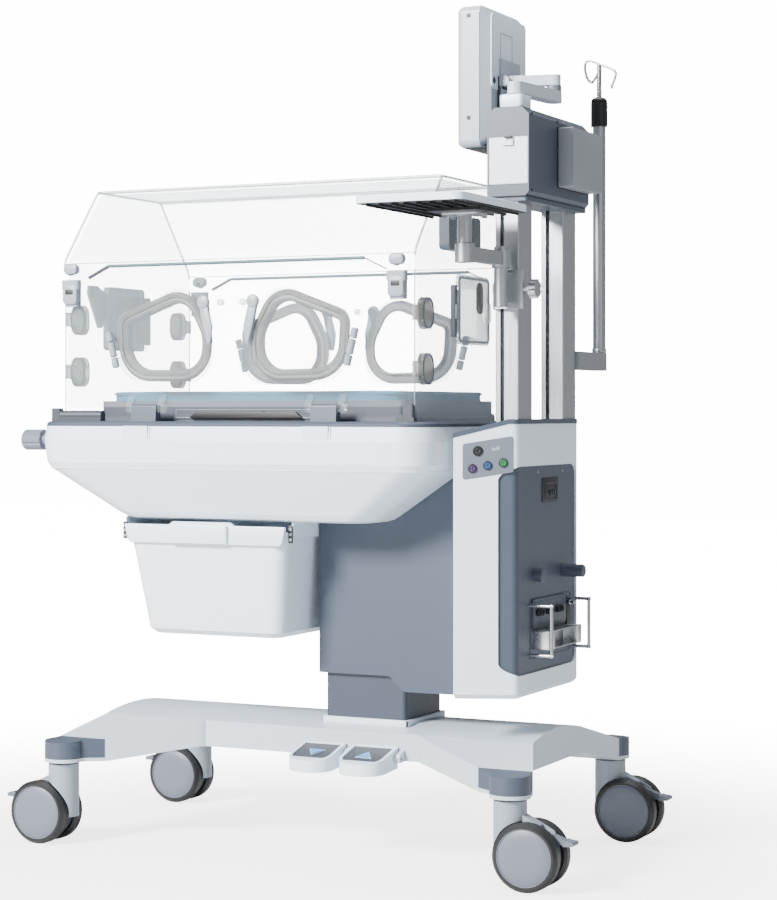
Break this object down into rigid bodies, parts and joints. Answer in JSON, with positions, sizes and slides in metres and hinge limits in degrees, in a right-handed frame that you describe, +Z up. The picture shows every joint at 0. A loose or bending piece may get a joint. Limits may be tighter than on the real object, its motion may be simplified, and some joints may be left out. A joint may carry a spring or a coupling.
{
  "type": "infant incubator",
  "caption": "Closed infant incubator with clear hood, hand ports, tilting mattress tray and drawer on a height-adjustable column with casters, mast, screen, shelf and pole.",
  "frame": {"origin": "centre of the bounding box's bottom face, on the floor", "axes": "+Z up, -Y to the operator's front, +X towards the mast"},
  "size_m": [1.202, 0.873, 1.638],
  "materials": {
    "white_shell": "satin near-white moulding",
    "blue_grey": "satin blue-grey moulding",
    "clear_plastic": "clear acrylic",
    "soft_grey": "soft grey",
    "steel": "brushed",
    "aluminium_profile": "anodised",
    "fork_plastic": "satin light grey",
    "tyre_grey": "dark polyurethane",
    "brake_grey": "satin",
    "pedal_grey": "satin dark grey",
    "dark_plastic": "matt",
    "xray_grey": "satin",
    "mattress_blue": "coated cloth"
  },
  "bodies": {
    "chassis": {"base_frame": "white_shell", "arm_caps": "blue_grey", "inner_column": "white_shell", "lift_actuator": "steel"},
    "lift": {"lift_rod": "steel", "column_cover": "white_shell", "side_housing": "white_shell", "side_panel": "blue_grey", "service_metalwork": "steel", "tub": "white_shell", "deck": "blue_grey", "air_unit": "dark_plastic", "hood": "clear_plastic", "hood_clamps": "steel", "grommets": "soft_grey", "sensor_box": "soft_grey", "mast_posts": "aluminium_profile", "head_unit": "white_shell", "iv_pole": "steel", "shelf_mount": "aluminium_profile"},
    "tray": {"mattress_tray": "white_shell", "mattress": "mattress_blue"},
    "swivel_fl": {"caster_fork_fl": "fork_plastic"},
    "wheels_fl": {"caster_wheels_fl": "tyre_grey"},
    "brake_fl": {"brake_pedal_fl": "brake_grey"},
    "swivel_fr": {"caster_fork_fr": "fork_plastic"},
    "wheels_fr": {"caster_wheels_fr": "tyre_grey"},
    "brake_fr": {"brake_pedal_fr": "brake_grey"},
    "swivel_rl": {"caster_fork_rl": "fork_plastic"},
    "wheels_rl": {"caster_wheels_rl": "tyre_grey"},
    "brake_rl": {"brake_pedal_rl": "brake_grey"},
    "swivel_rr": {"caster_fork_rr": "fork_plastic"},
    "wheels_rr": {"caster_wheels_rr": "tyre_grey"},
    "brake_rr": {"brake_pedal_rr": "brake_grey"},
    "door_fl": {"port_door_fl": "clear_plastic"},
    "latch_fl": {"port_latch_fl": "soft_grey"},
    "door_fr": {"port_door_fr": "clear_plastic"},
    "latch_fr": {"port_latch_fr": "soft_grey"},
    "door_bl": {"port_door_bl": "clear_plastic"},
    "latch_bl": {"port_latch_bl": "soft_grey"},
    "door_br": {"port_door_br": "clear_plastic"},
    "latch_br": {"port_latch_br": "soft_grey"},
    "foot_pedal_down_body": {"foot_pedal_down": "pedal_grey"},
    "foot_pedal_up_body": {"foot_pedal_up": "pedal_grey"},
    "drawer_body": {"drawer": "blue_grey"},
    "tilt_knob_body": {"tilt_knob": "soft_grey"},
    "xray_tray_body": {"xray_tray": "xray_grey"},
    "front_panel_body": {"front_panel": "clear_plastic"},
    "back_panel_body": {"back_panel": "clear_plastic"},
    "front_latches_body": {"front_latches": "soft_grey"},
    "back_latches_body": {"back_latches": "soft_grey"},
    "hatch_left_body": {"hatch_left": "blue_grey"},
    "hatch_right_body": {"hatch_right": "clear_plastic"},
    "head_door_body": {"head_door": "white_shell"},
    "arm_lower_body": {"arm_lower": "white_shell"},
    "arm_upper_body": {"arm_upper": "white_shell"},
    "monitor_body": {"monitor": "white_shell"},
    "shelf_arm_body": {"shelf_arm": "aluminium_profile"},
    "shelf_body": {"shelf": "dark_plastic"},
    "iv_rod_body": {"iv_rod": "steel"}
  },
  "joints": [
    {"name": "swivel_turn_fl", "type": "hinge", "parent": "chassis", "child": "swivel_fl", "pos_m": [-0.476, -0.1735, 0.17], "axis": [0, 0, 1], "continuous": true},
    {"name": "wheel_spin_fl", "type": "hinge", "parent": "swivel_fl", "child": "wheels_fl", "pos_m": [-0.5165, -0.1735, 0.0625], "axis": [0, 1, 0], "continuous": true},
    {"name": "brake_tilt_fl", "type": "hinge", "parent": "swivel_fl", "child": "brake_fl", "pos_m": [-0.55, -0.1735, 0.098], "axis": [0, -1, 0], "range_deg": [0, 12]},
    {"name": "swivel_turn_fr", "type": "hinge", "parent": "chassis", "child": "swivel_fr", "pos_m": [0.476, -0.1735, 0.17], "axis": [0, 0, 1], "continuous": true},
    {"name": "wheel_spin_fr", "type": "hinge", "parent": "swivel_fr", "child": "wheels_fr", "pos_m": [0.5165, -0.1735, 0.0625], "axis": [0, 1, 0], "continuous": true},
    {"name": "brake_tilt_fr", "type": "hinge", "parent": "swivel_fr", "child": "brake_fr", "pos_m": [0.55, -0.1735, 0.098], "axis": [0, 1, 0], "range_deg": [0, 12]},
    {"name": "swivel_turn_rl", "type": "hinge", "parent": "chassis", "child": "swivel_rl", "pos_m": [-0.476, 0.3725, 0.17], "axis": [0, 0, 1], "continuous": true},
    {"name": "wheel_spin_rl", "type": "hinge", "parent": "swivel_rl", "child": "wheels_rl", "pos_m": [-0.5165, 0.3725, 0.0625], "axis": [0, 1, 0], "continuous": true},
    {"name": "brake_tilt_rl", "type": "hinge", "parent": "swivel_rl", "child": "brake_rl", "pos_m": [-0.55, 0.3725, 0.098], "axis": [0, -1, 0], "range_deg": [0, 12]},
    {"name": "swivel_turn_rr", "type": "hinge", "parent": "chassis", "child": "swivel_rr", "pos_m": [0.476, 0.3725, 0.17], "axis": [0, 0, 1], "continuous": true},
    {"name": "wheel_spin_rr", "type": "hinge", "parent": "swivel_rr", "child": "wheels_rr", "pos_m": [0.5165, 0.3725, 0.0625], "axis": [0, 1, 0], "continuous": true},
    {"name": "brake_tilt_rr", "type": "hinge", "parent": "swivel_rr", "child": "brake_rr", "pos_m": [0.55, 0.3725, 0.098], "axis": [0, 1, 0], "range_deg": [0, 12]},
    {"name": "pedal_down_press", "type": "hinge", "parent": "chassis", "child": "foot_pedal_down_body", "pos_m": [0.0365, -0.0465, 0.196], "axis": [1, 0, 0], "range_deg": [0, 8], "stiffness_Nm_per_rad": 3, "springref_deg": -14.32},
    {"name": "pedal_up_press", "type": "hinge", "parent": "chassis", "child": "foot_pedal_up_body", "pos_m": [0.1445, -0.0465, 0.196], "axis": [1, 0, 0], "range_deg": [0, 8], "stiffness_Nm_per_rad": 3, "springref_deg": -14.32},
    {"name": "lift_travel", "type": "slide", "parent": "chassis", "child": "lift", "axis": [0, 0, 1], "range_m": [0, 0.2]},
    {"name": "drawer_pull", "type": "slide", "parent": "lift", "child": "drawer_body", "axis": [0, -1, 0], "range_m": [0, 0.3]},
    {"name": "tray_tilt", "type": "hinge", "parent": "lift", "child": "tray", "pos_m": [0.237, 0.0995, 0.8483], "axis": [0, 1, 0], "range_deg": [0, 12]},
    {"name": "knob_turn", "type": "hinge", "parent": "lift", "child": "tilt_knob_body", "pos_m": [-0.57, -0.1255, 0.802], "axis": [-1, 0, 0], "range_deg": [0, 1440]},
    {"name": "xray_pull", "type": "slide", "parent": "tray", "child": "xray_tray_body", "axis": [0, -1, 0], "range_m": [0, 0.25]},
    {"name": "front_panel_drop", "type": "hinge", "parent": "lift", "child": "front_panel_body", "pos_m": [-0.1035, -0.1645, 0.863], "axis": [1, 0, 0], "range_deg": [0, 90]},
    {"name": "front_latch_slide", "type": "slide", "parent": "front_panel_body", "child": "front_latches_body", "axis": [0, 0, 1], "range_m": [0, 0.007]},
    {"name": "back_panel_drop", "type": "hinge", "parent": "lift", "child": "back_panel_body", "pos_m": [-0.1035, 0.3635, 0.863], "axis": [-1, 0, 0], "range_deg": [0, 90]},
    {"name": "back_latch_slide", "type": "slide", "parent": "back_panel_body", "child": "back_latches_body", "axis": [0, 0, 1], "range_m": [0, 0.007]},
    {"name": "port_swing_fl", "type": "hinge", "parent": "front_panel_body", "child": "door_fl", "pos_m": [-0.3645, -0.1705, 0.9805], "axis": [0.245, 0, -0.9695], "range_deg": [0, 100]},
    {"name": "port_latch_turn_fl", "type": "hinge", "parent": "door_fl", "child": "latch_fl", "pos_m": [-0.158, -0.1695, 1.07], "axis": [0, 1, 0], "range_deg": [0, 30], "stiffness_Nm_per_rad": 0.3, "springref_deg": -22.92},
    {"name": "port_swing_fr", "type": "hinge", "parent": "front_panel_body", "child": "door_fr", "pos_m": [0.1565, -0.1705, 0.9805], "axis": [0.245, 0, 0.9695], "range_deg": [0, 100]},
    {"name": "port_latch_turn_fr", "type": "hinge", "parent": "door_fr", "child": "latch_fr", "pos_m": [-0.05, -0.1695, 1.07], "axis": [0, -1, 0], "range_deg": [0, 30], "stiffness_Nm_per_rad": 0.3, "springref_deg": -22.92},
    {"name": "port_swing_bl", "type": "hinge", "parent": "back_panel_body", "child": "door_bl", "pos_m": [-0.3645, 0.3695, 0.9805], "axis": [-0.245, 0, 0.9695], "range_deg": [0, 100]},
    {"name": "port_latch_turn_bl", "type": "hinge", "parent": "door_bl", "child": "latch_bl", "pos_m": [-0.158, 0.3685, 1.07], "axis": [0, 1, 0], "range_deg": [0, 30], "stiffness_Nm_per_rad": 0.3, "springref_deg": -22.92},
    {"name": "port_swing_br", "type": "hinge", "parent": "back_panel_body", "child": "door_br", "pos_m": [0.1565, 0.3695, 0.9805], "axis": [-0.245, 0, -0.9695], "range_deg": [0, 100]},
    {"name": "port_latch_turn_br", "type": "hinge", "parent": "door_br", "child": "latch_br", "pos_m": [-0.05, 0.3685, 1.07], "axis": [0, -1, 0], "range_deg": [0, 30], "stiffness_Nm_per_rad": 0.3, "springref_deg": -22.92},
    {"name": "hatch_left_swing", "type": "hinge", "parent": "lift", "child": "hatch_left_body", "pos_m": [-0.4923, 0.1855, 1.05], "axis": [0, 0, -1], "range_deg": [0, 100]},
    {"name": "hatch_right_swing", "type": "hinge", "parent": "lift", "child": "hatch_right_body", "pos_m": [0.2853, 0.0295, 1.052], "axis": [0, 0, -1], "range_deg": [0, 80]},
    {"name": "head_door_drop", "type": "hinge", "parent": "lift", "child": "head_door_body", "pos_m": [0.4295, -0.0625, 1.2835], "axis": [1, 0, 0], "range_deg": [0, 90]},
    {"name": "arm_shoulder", "type": "hinge", "parent": "lift", "child": "arm_lower_body", "pos_m": [0.432, -0.0355, 1.46], "axis": [0, 0, 1], "range_deg": [0, 40]},
    {"name": "arm_elbow", "type": "hinge", "parent": "arm_lower_body", "child": "arm_upper_body", "pos_m": [0.45, 0.1205, 1.49], "axis": [0, 0, 1], "range_deg": [-10, 15]},
    {"name": "monitor_tilt", "type": "hinge", "parent": "arm_upper_body", "child": "monitor_body", "pos_m": [0.363, 0.1035, 1.496], "axis": [0, 1, 0], "range_deg": [-5, 10]},
    {"name": "shelf_arm_swing", "type": "hinge", "parent": "lift", "child": "shelf_arm_body", "pos_m": [0.428, -0.0975, 1.14], "axis": [0, 0, 1], "range_deg": [0, 60]},
    {"name": "shelf_turn", "type": "hinge", "parent": "shelf_arm_body", "child": "shelf_body", "pos_m": [0.428, -0.2715, 1.14], "axis": [0, 0, 1], "range_deg": [-30, 30]},
    {"name": "rod_height", "type": "slide", "parent": "lift", "child": "iv_rod_body", "axis": [0, 0, 1], "range_m": [0, 0.25]}
  ],
  "couplings": [
    {"joint": "knob_turn", "follows": "tray_tilt", "ratio": 120}
  ]
}
